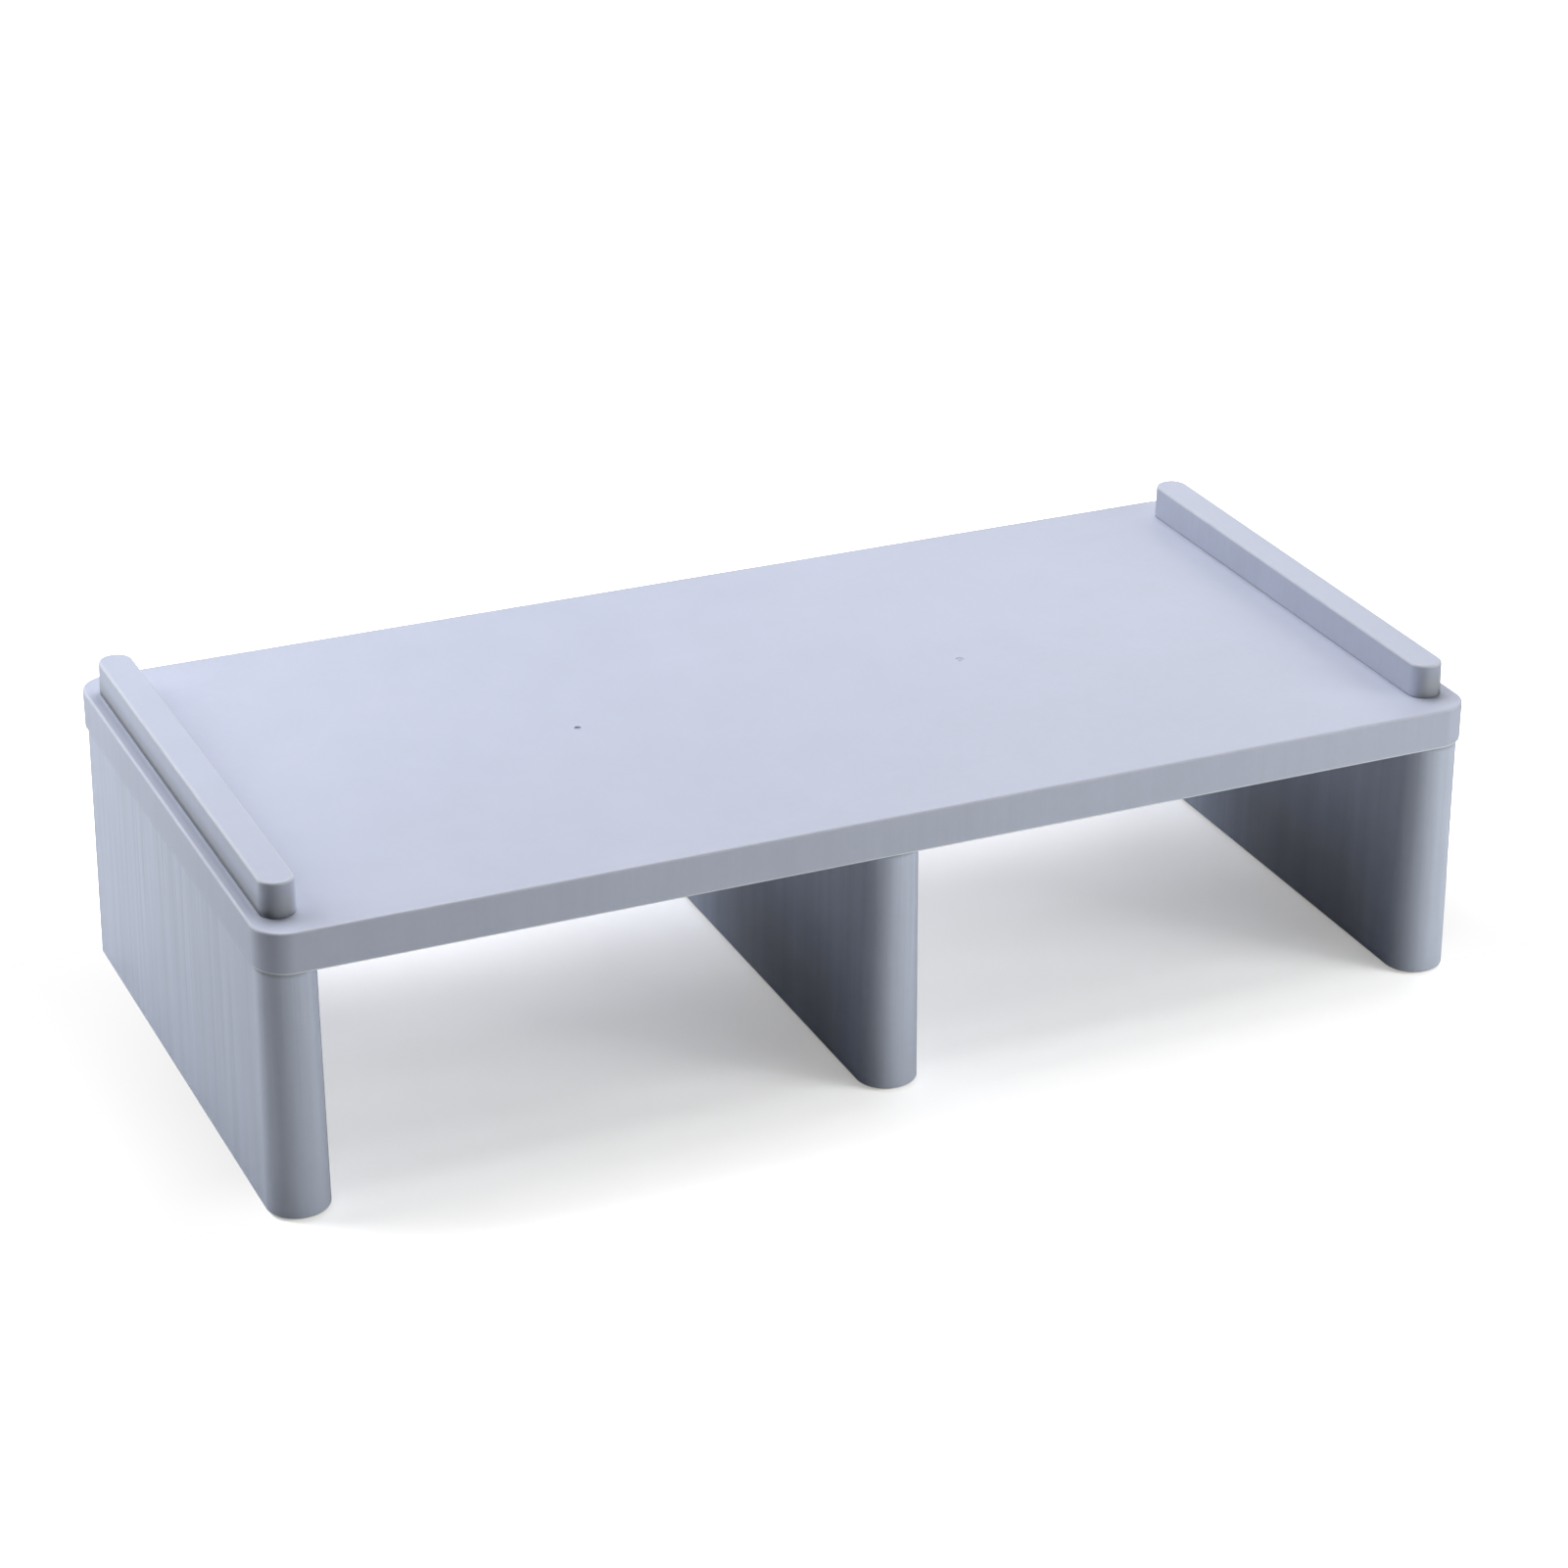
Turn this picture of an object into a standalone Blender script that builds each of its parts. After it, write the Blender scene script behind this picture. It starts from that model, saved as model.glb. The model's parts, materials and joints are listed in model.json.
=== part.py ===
"""Monitor riser stand: a ribbed tray on three push-fit leg panels.

Frame: metres, +Z up, origin on the desk at the centre of the footprint, +X along
the long side, -Y towards the user. Every piece is an injection moulding except the
six rubber feet. The legs plug up into sockets under the board and pull straight down.
"""

import math
from collections import namedtuple
from functools import partial

import bmesh
import bpy

# ---- board ----------------------------------------------------------------------
LENGTH = 0.500  # along X
DEPTH = 0.245  # along Y
DECK_TOP = 0.118  # desk to the top face of the board
DECK_T = 0.0030
SKIRT_H = 0.0165  # top face to the bottom of the skirt
SKIRT_T = 0.0026
CORNER_R = 0.013  # plan corner of the board
EDGE_R = 0.0012  # fillet round the top face
LIP_R = 0.0008  # fillet round the bottom of the skirt and of each leg
CLEAR_MARGIN = 0.0010  # from a rail to the clear area of the deck
CLEAR_EDGE = 0.0003  # from the top fillet to the clear area, front and back
CLEAR_R = 0.002

RIB_T = 0.0018
RIB_BOTTOM = 0.1060  # height of the ribs' lower edges
RIB_CELLS_X, RIB_CELLS_Y = 5, 5  # ribbed cells in each bay
CELL_EDGE = 0.0006  # from the side of a bay to its cells
BAY_R = 0.003
COLLAR_T = 0.0022  # wall beside each leg socket

# ---- legs -----------------------------------------------------------------------
LEG_T = 0.0224  # leg thickness at its shoulder
LEG_IN_X = 0.00105  # end leg, inside the end of the board
LEG_IN_Y = 0.0018  # every leg, inside the front and back of the board
LEG_DRAFT = math.radians(0.6)  # wider towards the open bottom
LEG_WALL = 0.0028
LEG_WEB = 0.0030  # floor between the leg's lower hollow and its tongue
LEG_END_Y = 0.1106  # where the lower hollow stops, leaving a post for the foot
MOUTH_R = 0.0025
LEG_RIB_T = 0.0020
LEG_RIB_Y = (-0.055, 0.0, 0.055)
LEG_RIB_LIFT = 0.017  # height of the cross ribs' lower edges
LEG_CELL_IN = 0.0004  # cells between the ribs, inside the open mouth
LEG_CELL_R = 0.002
SHOULDER_R = 0.0005
SEAM = 0.0003  # gap between the skirt and a leg's shoulder
END_EASE = 0.00025  # end radius of a leg or tongue, short of half its thickness

TONGUE_STEP = 0.0024  # shoulder width beside the tongue
TONGUE_FIT = 0.0005  # clearance round the tongue in its socket
TONGUE_GAP = 0.0004  # clearance over the tongue
TONGUE_WALL = 0.0022
TONGUE_LEAD_IN = 0.0007  # inset of the taper round the tongue's top
TONGUE_LEAD_H = 0.001

POCKET_Y = (0.1126, 0.1166)  # pocket in each end post, distance from the middle
POCKET_HALF_X = 0.005
POCKET_R = 0.0019
POCKET_BOTTOM = 0.004

# ---- rails ----------------------------------------------------------------------
RAIL_IN_X = 0.0052  # rail, inside the end of the board
RAIL_IN_Y = 0.0125  # rail, inside the front and back of the board
RAIL_W = 0.0140
RAIL_H = 0.0140
RAIL_WALL = 0.0024
RAIL_EDGE_R = 0.0012
RAIL_END_EASE = 0.0002  # end radius of a rail, short of half its width
RAIL_DRAFT = math.radians(1.0)
RAIL_GAP = 0.0003
PEG_R = 0.0025
PEG_HOLE_R = 0.0028
PEG_HEAD_R = 0.0036
PEG_HEAD_H = 0.0013
PEG_HEAD_TIP = 0.7  # radius of the head's bottom face, as a share of PEG_HEAD_R
PEG_HEAD_RIM = 0.45  # height of the head's straight rim, as a share of PEG_HEAD_H
PEG_Y = (-0.080, 0.0, 0.080)

# ---- feet -----------------------------------------------------------------------
FOOT_L, FOOT_W = 0.0130, 0.0064  # rubber pad, along X and along Y
FOOT_Y = 0.1156
FOOT_T = 0.0018
FOOT_STAND = 0.0008  # how far a pad stands below its leg
FOOT_GAP = 0.0003
FOOT_CHAMFER = 0.0004
FOOT_END_EASE = 0.0001  # end radius of a pad, short of half its width

# ---- mesh detail ----------------------------------------------------------------
CORNER_STEPS = 7  # segments in a quarter turn of a plan corner
HOLLOW_STEPS = 3  # the same, in bays, leg hollows and pockets
FOOT_STEPS = 5  # the same, in the feet and their seats
ROUND_STEPS = 16  # segments round a peg
TOP_STEPS = 3  # segments in the fillet on top of the board and rails
LIP_STEPS = 2  # segments in the fillets on the lips and leg shoulders
SHARP_ANGLE = math.radians(35)

BOARD_OVERRUN = 0.004  # how far a cutter runs out below the board
OVERRUN = 0.002  # how far other cutters run past an open face
SHORT_OVERRUN = 0.001  # the same, where there is less room
CELL_OVERLAP = 0.0005  # how far cell cutters reach down into the hollow below
LEDGE_RISE = 0.00002  # tiny rise across a flat ledge in a loft

# ---- derived sizes --------------------------------------------------------------
HALF_X, HALF_Y = LENGTH / 2, DEPTH / 2
INNER_Y = HALF_Y - SKIRT_T
SKIRT_BOTTOM = DECK_TOP - SKIRT_H
DECK_UNDER = DECK_TOP - DECK_T
SHOULDER_Z = SKIRT_BOTTOM - SEAM
TONGUE_TOP = DECK_UNDER - TONGUE_GAP
RAIL_BASE = DECK_TOP + RAIL_GAP
RAIL_TOP = DECK_TOP + RAIL_H
RAIL_X = HALF_X - RAIL_IN_X - RAIL_W / 2

# X limits of a leg's body at the shoulder, and of its tongue
Leg = namedtuple("Leg", "side left right tongue_left tongue_right")


# ---- shape helpers --------------------------------------------------------------
def clear_scene():
    for obj in list(bpy.data.objects):
        bpy.data.objects.remove(obj, do_unlink=True)


def plan_ring(x0, x1, y0, y1, radius, steps=CORNER_STEPS):
    """Points of a rounded rectangle, anticlockwise seen from above."""
    points = []
    corners = (
        (x1 - radius, y1 - radius, 0),
        (x0 + radius, y1 - radius, 90),
        (x0 + radius, y0 + radius, 180),
        (x1 - radius, y0 + radius, 270),
    )
    for centre_x, centre_y, start in corners:
        for i in range(steps + 1):
            angle = math.radians(start + 90 * i / steps)
            points.append(
                (centre_x + radius * math.cos(angle), centre_y + radius * math.sin(angle))
            )
    return points


def round_ring(x, y, radius):
    angles = [2 * math.pi * i / ROUND_STEPS for i in range(ROUND_STEPS)]
    return [(x + radius * math.cos(angle), y + radius * math.sin(angle)) for angle in angles]


def prism(ring, bottom, top):
    return [(ring, bottom), (ring, top)]


def fillet(level, bottom, radius, steps, lower=False):
    """Levels of a quarter fillet on a body's upper edge, or on its lower edge.

    level(inset, z) gives one level of the body; bottom is where the fillet starts.
    """
    levels = []
    for i in range(steps + 1):
        angle = math.radians(90 * i / steps)
        across = radius * (1 - math.cos(angle))
        along = radius * math.sin(angle)
        if lower:
            levels.append(level(radius - along, bottom + across))
        else:
            levels.append(level(across, bottom + along))
    return levels


def add_loft(bm, levels):
    """Adds one closed body through rings of equal length, lowest first."""
    rings = [[bm.verts.new((x, y, z)) for x, y in ring] for ring, z in levels]
    count = len(rings[0])
    bm.faces.new(list(reversed(rings[0])))
    for low, high in zip(rings, rings[1:]):
        for i in range(count):
            j = (i + 1) % count
            bm.faces.new((low[i], low[j], high[j], high[i]))
    bm.faces.new(rings[-1])


def make_object(name, bodies, material=None):
    """One object from one or more separate lofted bodies."""
    bm = bmesh.new()
    for levels in bodies:
        add_loft(bm, levels)
    bmesh.ops.recalc_face_normals(bm, faces=bm.faces)
    mesh = bpy.data.meshes.new(name)
    bm.to_mesh(mesh)
    bm.free()
    if material is not None:
        mesh.materials.append(material)
    mesh.shade_smooth()
    mesh.set_sharp_from_angle(angle=SHARP_ANGLE)
    obj = bpy.data.objects.new(name, mesh)
    bpy.context.scene.collection.objects.link(obj)
    return obj


def boolean(obj, name, bodies, operation="DIFFERENCE"):
    """Cuts or joins the bodies, kept as a hidden helper object."""
    helper = make_object(name, bodies)
    helper.hide_render = True
    helper.display_type = "WIRE"
    modifier = obj.modifiers.new(name, "BOOLEAN")
    modifier.operation = operation
    modifier.solver = "EXACT"
    modifier.object = helper


def make_material(name, colour, roughness):
    material = bpy.data.materials.new(name)
    material.use_nodes = True
    shader = material.node_tree.nodes["Principled BSDF"]
    shader.inputs["Base Color"].default_value = (*colour, 1.0)
    shader.inputs["Roughness"].default_value = roughness
    shader.inputs["Metallic"].default_value = 0.0
    material.diffuse_color = (*colour, 1.0)
    return material


# ---- leg places -----------------------------------------------------------------
def leg_spans():
    """The left, centre and right legs; the right mirrors the left."""
    left = -HALF_X + LEG_IN_X
    right = left + LEG_T
    tongue_left = -HALF_X + SKIRT_T + TONGUE_FIT
    tongue_right = right - TONGUE_STEP
    half = LEG_T / 2
    return (
        Leg("left", left, right, tongue_left, tongue_right),
        Leg("centre", -half, half, -half + TONGUE_STEP, half - TONGUE_STEP),
        Leg("right", -right, -left, -tongue_right, -tongue_left),
    )


def tongue_radius(leg):
    return (leg.tongue_right - leg.tongue_left) / 2 - END_EASE


# ---- the board ------------------------------------------------------------------
def board_level(inset, z):
    x, y = HALF_X - inset, HALF_Y - inset
    return plan_ring(-x, x, -y, y, CORNER_R - inset), z


def make_board(legs, material):
    levels = fillet(board_level, SKIRT_BOTTOM, LIP_R, LIP_STEPS, lower=True)
    levels += fillet(board_level, DECK_TOP - EDGE_R, EDGE_R, TOP_STEPS)
    # the clear flat area between the rails, where a monitor stands, is its own face
    clear_x = HALF_X - RAIL_IN_X - RAIL_W - CLEAR_MARGIN
    clear_y = HALF_Y - EDGE_R - CLEAR_EDGE
    levels.append((plan_ring(-clear_x, clear_x, -clear_y, clear_y, CLEAR_R), DECK_TOP))
    board = make_object("top_board", [levels], material)
    cut_sockets(board, legs)
    cut_bays(board, legs)
    cut_peg_holes(board)


def cut_sockets(board, legs):
    """Leg sockets, open downwards."""
    sockets = []
    for leg in legs:
        ring = plan_ring(
            leg.tongue_left - TONGUE_FIT,
            leg.tongue_right + TONGUE_FIT,
            -INNER_Y,
            INNER_Y,
            tongue_radius(leg) + TONGUE_FIT,
        )
        sockets.append(prism(ring, SKIRT_BOTTOM - BOARD_OVERRUN, DECK_UNDER))
    boolean(board, "cut_sockets", sockets)


def cut_bays(board, legs):
    """One shallow bay each side of the centre leg, with deeper cells between ribs."""
    bays, cells = [], []
    for left_leg, right_leg in zip(legs, legs[1:]):
        x0 = left_leg.tongue_right + TONGUE_FIT + COLLAR_T
        x1 = right_leg.tongue_left - TONGUE_FIT - COLLAR_T
        ring = plan_ring(x0, x1, -INNER_Y, INNER_Y, BAY_R, HOLLOW_STEPS)
        bays.append(prism(ring, SKIRT_BOTTOM - BOARD_OVERRUN, RIB_BOTTOM))
        cells += bay_cells(x0 + CELL_EDGE, x1 - CELL_EDGE)
    boolean(board, "cut_bays", bays)
    boolean(board, "cut_cells", cells)


def bay_cells(x0, x1):
    """Square-cornered cells that leave the ribs standing between them."""
    y0, y1 = -INNER_Y + CELL_EDGE, INNER_Y - CELL_EDGE
    wide = (x1 - x0 - (RIB_CELLS_X - 1) * RIB_T) / RIB_CELLS_X
    deep = (y1 - y0 - (RIB_CELLS_Y - 1) * RIB_T) / RIB_CELLS_Y
    cells = []
    for i in range(RIB_CELLS_X):
        for j in range(RIB_CELLS_Y):
            x = x0 + i * (wide + RIB_T)
            y = y0 + j * (deep + RIB_T)
            ring = [(x, y), (x + wide, y), (x + wide, y + deep), (x, y + deep)]
            cells.append(prism(ring, RIB_BOTTOM - CELL_OVERLAP, DECK_UNDER))
    return cells


def cut_peg_holes(board):
    holes = [
        prism(round_ring(x, y, PEG_HOLE_R), DECK_UNDER - OVERRUN, DECK_TOP + OVERRUN)
        for x in (-RAIL_X, RAIL_X)
        for y in PEG_Y
    ]
    boolean(board, "cut_peg_holes", holes)


# ---- the rails ------------------------------------------------------------------
def rail_level(centre_x, inset, z):
    inset += math.tan(RAIL_DRAFT) * (z - RAIL_BASE)
    x, y = RAIL_W / 2 - inset, HALF_Y - RAIL_IN_Y - inset
    return plan_ring(centre_x - x, centre_x + x, -y, y, x - RAIL_END_EASE), z


def peg(x, y):
    """A peg through the deck, with a melted-over head below it."""
    head_top = DECK_UNDER - RAIL_GAP
    profile = (  # radius, z
        (PEG_HEAD_R * PEG_HEAD_TIP, head_top - PEG_HEAD_H),
        (PEG_HEAD_R, head_top - PEG_HEAD_H * PEG_HEAD_RIM),
        (PEG_HEAD_R, head_top),
        (PEG_R, head_top + LEDGE_RISE),
        (PEG_R, RAIL_TOP - RAIL_WALL + SHORT_OVERRUN),
    )
    return [(round_ring(x, y, radius), z) for radius, z in profile]


def make_rail(name, centre_x, material):
    level = partial(rail_level, centre_x)
    levels = [level(0, RAIL_BASE)]
    levels += fillet(level, RAIL_TOP - RAIL_EDGE_R, RAIL_EDGE_R, TOP_STEPS)
    rail = make_object(name, [levels], material)

    hollow = [
        level(RAIL_WALL, RAIL_BASE - SHORT_OVERRUN),
        level(RAIL_WALL, RAIL_TOP - RAIL_WALL),
    ]
    boolean(rail, "cut_" + name, [hollow])
    boolean(rail, "pegs_" + name, [peg(centre_x, y) for y in PEG_Y], "UNION")


# ---- the legs -------------------------------------------------------------------
def leg_growth(z):
    """How far draft has moved a leg's outer face out at height z."""
    return math.tan(LEG_DRAFT) * (SHOULDER_Z - z)


def body_level(leg, inset, z):
    out = leg_growth(z) - inset
    y = HALF_Y - LEG_IN_Y + out
    radius = (leg.right - leg.left) / 2 - END_EASE + out
    return plan_ring(leg.left - out, leg.right + out, -y, y, radius), z


def tongue_level(leg, inset, z):
    x0, x1 = leg.tongue_left + inset, leg.tongue_right - inset
    y = INNER_Y - TONGUE_FIT - inset
    return plan_ring(x0, x1, -y, y, tongue_radius(leg) - inset), z


def hollow_body(leg, y0, y1, bottom, top, wall, radius):
    """Drafted cutter that leaves a wall along each long side of the leg."""
    levels = []
    for z in (bottom, top):
        out = leg_growth(z) - wall
        ring = plan_ring(leg.left - out, leg.right + out, y0, y1, radius, HOLLOW_STEPS)
        levels.append((ring, z))
    return levels


def make_leg(leg, middle, material):
    body = partial(body_level, leg)
    tongue = partial(tongue_level, leg)
    levels = fillet(body, FOOT_STAND, LIP_R, LIP_STEPS, lower=True)
    levels += fillet(body, SHOULDER_Z - SHOULDER_R, SHOULDER_R, LIP_STEPS)
    levels += [
        tongue(0, SHOULDER_Z + LEDGE_RISE),
        tongue(0, TONGUE_TOP - TONGUE_LEAD_H),
        tongue(TONGUE_LEAD_IN, TONGUE_TOP),
    ]
    obj = make_object(leg.side + "_leg", [levels], material)
    cut_lower_hollow(obj, leg)
    # hollow tongue, open upwards
    upper = [tongue(TONGUE_WALL, SHOULDER_Z), tongue(TONGUE_WALL, TONGUE_TOP + OVERRUN)]
    boolean(obj, "cut_tongue_" + leg.side, [upper])
    cut_end_posts(obj, leg, middle)


def cut_lower_hollow(obj, leg):
    """Open mouth, then four cells above it with cross ribs between them."""
    mouth = hollow_body(
        leg, -LEG_END_Y, LEG_END_Y, FOOT_STAND - OVERRUN, LEG_RIB_LIFT, LEG_WALL, MOUTH_R
    )
    boolean(obj, "cut_mouth_" + leg.side, [mouth])
    starts = [-LEG_END_Y + LEG_CELL_IN] + [y + LEG_RIB_T / 2 for y in LEG_RIB_Y]
    ends = [y - LEG_RIB_T / 2 for y in LEG_RIB_Y] + [LEG_END_Y - LEG_CELL_IN]
    bottom, roof = LEG_RIB_LIFT - CELL_OVERLAP, SHOULDER_Z - LEG_WEB
    wall = LEG_WALL + LEG_CELL_IN
    cells = [
        hollow_body(leg, y0, y1, bottom, roof, wall, LEG_CELL_R)
        for y0, y1 in zip(starts, ends)
    ]
    boolean(obj, "cut_cells_" + leg.side, cells)


def cut_end_posts(obj, leg, middle):
    """A deep pocket and a foot seat in each end post."""
    x0, x1 = middle - POCKET_HALF_X, middle + POCKET_HALF_X
    pockets, seats = [], []
    for sign in (-1, 1):
        y0, y1 = sorted(sign * y for y in POCKET_Y)
        ring = plan_ring(x0, x1, y0, y1, POCKET_R, HOLLOW_STEPS)
        pockets.append(prism(ring, POCKET_BOTTOM, SHOULDER_Z + SHORT_OVERRUN))
        ring = foot_ring(middle, sign * FOOT_Y, FOOT_GAP)
        seats.append(prism(ring, FOOT_STAND - OVERRUN, FOOT_T + FOOT_GAP))
    boolean(obj, "cut_posts_" + leg.side, pockets)
    boolean(obj, "cut_seats_" + leg.side, seats)


# ---- the feet -------------------------------------------------------------------
def foot_ring(x, y, grow):
    half_x, half_y = FOOT_L / 2 + grow, FOOT_W / 2 + grow
    radius = half_y - FOOT_END_EASE
    return plan_ring(x - half_x, x + half_x, y - half_y, y + half_y, radius, FOOT_STEPS)


def make_foot(name, x, y, material):
    full = foot_ring(x, y, 0.0)
    bottom = (foot_ring(x, y, -FOOT_CHAMFER), 0.0)
    make_object(name, [[bottom, *prism(full, FOOT_CHAMFER, FOOT_T)]], material)


def main():
    clear_scene()
    board_plastic = make_material("board_plastic", colour=(0.50, 0.53, 0.65), roughness=0.48)
    leg_plastic = make_material("leg_plastic", colour=(0.46, 0.49, 0.60), roughness=0.46)
    rail_plastic = make_material("rail_plastic", colour=(0.50, 0.53, 0.65), roughness=0.46)
    foot_rubber = make_material("foot_rubber", colour=(0.05, 0.05, 0.055), roughness=0.85)

    legs = leg_spans()
    make_board(legs, board_plastic)
    make_rail("left_rail", -RAIL_X, rail_plastic)
    make_rail("right_rail", RAIL_X, rail_plastic)
    for leg in legs:
        middle = (leg.left + leg.right) / 2
        make_leg(leg, middle, leg_plastic)
        make_foot(leg.side + "_front_foot", middle, -FOOT_Y, foot_rubber)
        make_foot(leg.side + "_rear_foot", middle, FOOT_Y, foot_rubber)


main()
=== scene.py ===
"""Looks of the monitor riser stand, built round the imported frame.

Every node of the frame gets a fine moulded surface that rides on the same body:
the board with its ribbed underside, two rails, three legs and six rubber pads.
Metres, +Z up, -Y towards the user, the desk at z = 0.
"""

import json
import math

import bmesh
import bpy
from mathutils import Matrix, Vector

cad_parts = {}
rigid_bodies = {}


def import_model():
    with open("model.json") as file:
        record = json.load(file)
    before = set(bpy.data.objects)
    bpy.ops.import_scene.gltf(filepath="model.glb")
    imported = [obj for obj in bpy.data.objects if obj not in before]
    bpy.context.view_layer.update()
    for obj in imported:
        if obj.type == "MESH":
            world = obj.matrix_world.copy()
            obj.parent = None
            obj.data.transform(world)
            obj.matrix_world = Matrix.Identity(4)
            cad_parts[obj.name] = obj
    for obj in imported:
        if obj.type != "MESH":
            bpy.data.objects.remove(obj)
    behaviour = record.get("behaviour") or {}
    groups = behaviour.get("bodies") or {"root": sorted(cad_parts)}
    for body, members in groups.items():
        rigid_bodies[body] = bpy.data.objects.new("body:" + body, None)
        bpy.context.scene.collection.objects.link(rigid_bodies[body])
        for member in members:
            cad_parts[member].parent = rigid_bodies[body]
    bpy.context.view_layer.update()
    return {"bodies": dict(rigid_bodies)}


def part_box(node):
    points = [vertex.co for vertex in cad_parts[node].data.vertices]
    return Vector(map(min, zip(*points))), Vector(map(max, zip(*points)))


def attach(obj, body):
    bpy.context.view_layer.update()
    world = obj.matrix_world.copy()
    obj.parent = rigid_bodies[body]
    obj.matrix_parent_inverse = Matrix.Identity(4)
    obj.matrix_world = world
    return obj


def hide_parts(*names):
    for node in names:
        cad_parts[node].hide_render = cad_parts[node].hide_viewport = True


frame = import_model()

# ---- places, read from the frame ------------------------------------------------
board_lo, board_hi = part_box("top_board")
HALF_X, HALF_Y = board_hi.x, board_hi.y
DECK_TOP = board_hi.z
SKIRT_BOTTOM = board_lo.z

# ---- wall sections and edges, as in the frame's solids --------------------------
DECK_T = 0.0030
SKIRT_T = 0.0026
CORNER_R = 0.013
EDGE_R = 0.0012
LIP_R = 0.0008
RIB_T = 0.0018
RIB_BOTTOM = DECK_TOP - 0.0120
RIB_CELLS_X, RIB_CELLS_Y = 5, 5
COLLAR_T = 0.0022
RIM_R = 0.0004  # rounding of hidden inner rims

LEG_T = 0.0224
LEG_IN_X = 0.00105
LEG_IN_Y = 0.0018
LEG_DRAFT = math.radians(0.6)
LEG_WALL = 0.0028
LEG_WEB = 0.0030
LEG_END_Y = 0.1106
LEG_RIB_T = 0.0020
LEG_RIB_Y = (-0.055, 0.0, 0.055)
LEG_RIB_LIFT = 0.017
SHOULDER_R = 0.0005
SEAM = 0.0003
TONGUE_STEP = 0.0024
TONGUE_FIT = 0.0005
TONGUE_GAP = 0.0004
TONGUE_WALL = 0.0022

RAIL_WALL = 0.0024
RAIL_EDGE_R = 0.0012
RAIL_BASE_R = 0.0003
RAIL_DRAFT = math.radians(1.0)
RAIL_GAP = 0.0003
RAIL_SEAT = 0.00005  # what is left of the gap where the rail's wall meets the deck
PEG_R = 0.0025
PEG_HOLE_R = 0.0028
PEG_HEAD_R = 0.0036
PEG_HEAD_H = 0.0013
PEG_Y = (-0.080, 0.0, 0.080)

FOOT_T = 0.0018
FOOT_STAND = 0.0008
FOOT_GAP = 0.0003

DIMPLE_X, DIMPLE_Y = 0.083, -0.001  # gate marks on the deck
DIMPLE_R, DIMPLE_D = 0.00145, 0.00070

DECK_UNDER = DECK_TOP - DECK_T
SHOULDER_Z = SKIRT_BOTTOM - SEAM
TONGUE_TOP = DECK_UNDER - TONGUE_GAP
INNER_Y = HALF_Y - SKIRT_T

FINE = 22  # segments in a quarter turn of a visible corner
HIDDEN = 6  # the same, where only the underside shows


# ---- shape helpers --------------------------------------------------------------
def plan_ring(x0, x1, y0, y1, radius, steps=FINE):
    """Points of a rounded rectangle, anticlockwise seen from above."""
    points = []
    corners = (
        (x1 - radius, y1 - radius, 0),
        (x0 + radius, y1 - radius, 90),
        (x0 + radius, y0 + radius, 180),
        (x1 - radius, y0 + radius, 270),
    )
    for cx, cy, start in corners:
        for i in range(steps + 1):
            a = math.radians(start + 90 * i / steps)
            points.append((cx + radius * math.cos(a), cy + radius * math.sin(a)))
    return points


def round_ring(cx, cy, radius, steps=32):
    return [
        (
            cx + radius * math.cos(2 * math.pi * i / steps),
            cy + radius * math.sin(2 * math.pi * i / steps),
        )
        for i in range(steps)
    ]


def arc(radius, steps, lower):
    """(inset, rise) along a quarter fillet: the lower edge of a body, or its upper edge."""
    out = []
    for i in range(steps + 1):
        a = math.radians(90 * i / steps)
        if lower:
            out.append((radius * (1 - math.sin(a)), radius * (1 - math.cos(a))))
        else:
            out.append((radius * (1 - math.cos(a)), radius * math.sin(a)))
    return out


def loft(bm, levels):
    """Adds one closed body through rings of equal length, lowest first."""
    rings = [[bm.verts.new((x, y, z)) for x, y in ring] for ring, z in levels]
    count = len(rings[0])
    bm.faces.new(list(reversed(rings[0])))
    for low, high in zip(rings, rings[1:]):
        for i in range(count):
            j = (i + 1) % count
            bm.faces.new((low[i], low[j], high[j], high[i]))
    bm.faces.new(rings[-1])


def solid(name, bodies):
    bm = bmesh.new()
    for levels in bodies:
        loft(bm, levels)
    bmesh.ops.recalc_face_normals(bm, faces=bm.faces)
    mesh = bpy.data.meshes.new(name)
    bm.to_mesh(mesh)
    bm.free()
    obj = bpy.data.objects.new(name, mesh)
    bpy.context.scene.collection.objects.link(obj)
    return obj


def bake(obj):
    """Replaces an object's mesh by its evaluated one and drops the modifiers."""
    graph = bpy.context.evaluated_depsgraph_get()
    mesh = bpy.data.meshes.new_from_object(obj.evaluated_get(graph))
    old, name = obj.data, obj.data.name
    obj.modifiers.clear()
    obj.data = mesh
    bpy.data.meshes.remove(old)
    mesh.name = name


def carve(obj, *steps):
    """Applies Boolean steps in turn, each a list of lofted bodies and an operation."""
    helpers = []
    for number, (bodies, operation) in enumerate(steps):
        helper = solid(f"{obj.name}_helper_{number}", bodies)
        modifier = obj.modifiers.new(helper.name, "BOOLEAN")
        modifier.operation = operation
        modifier.solver = "EXACT"
        modifier.object = helper
        helpers.append(helper)
    bake(obj)
    for helper in helpers:
        mesh = helper.data
        bpy.data.objects.remove(helper, do_unlink=True)
        bpy.data.meshes.remove(mesh)


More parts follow.
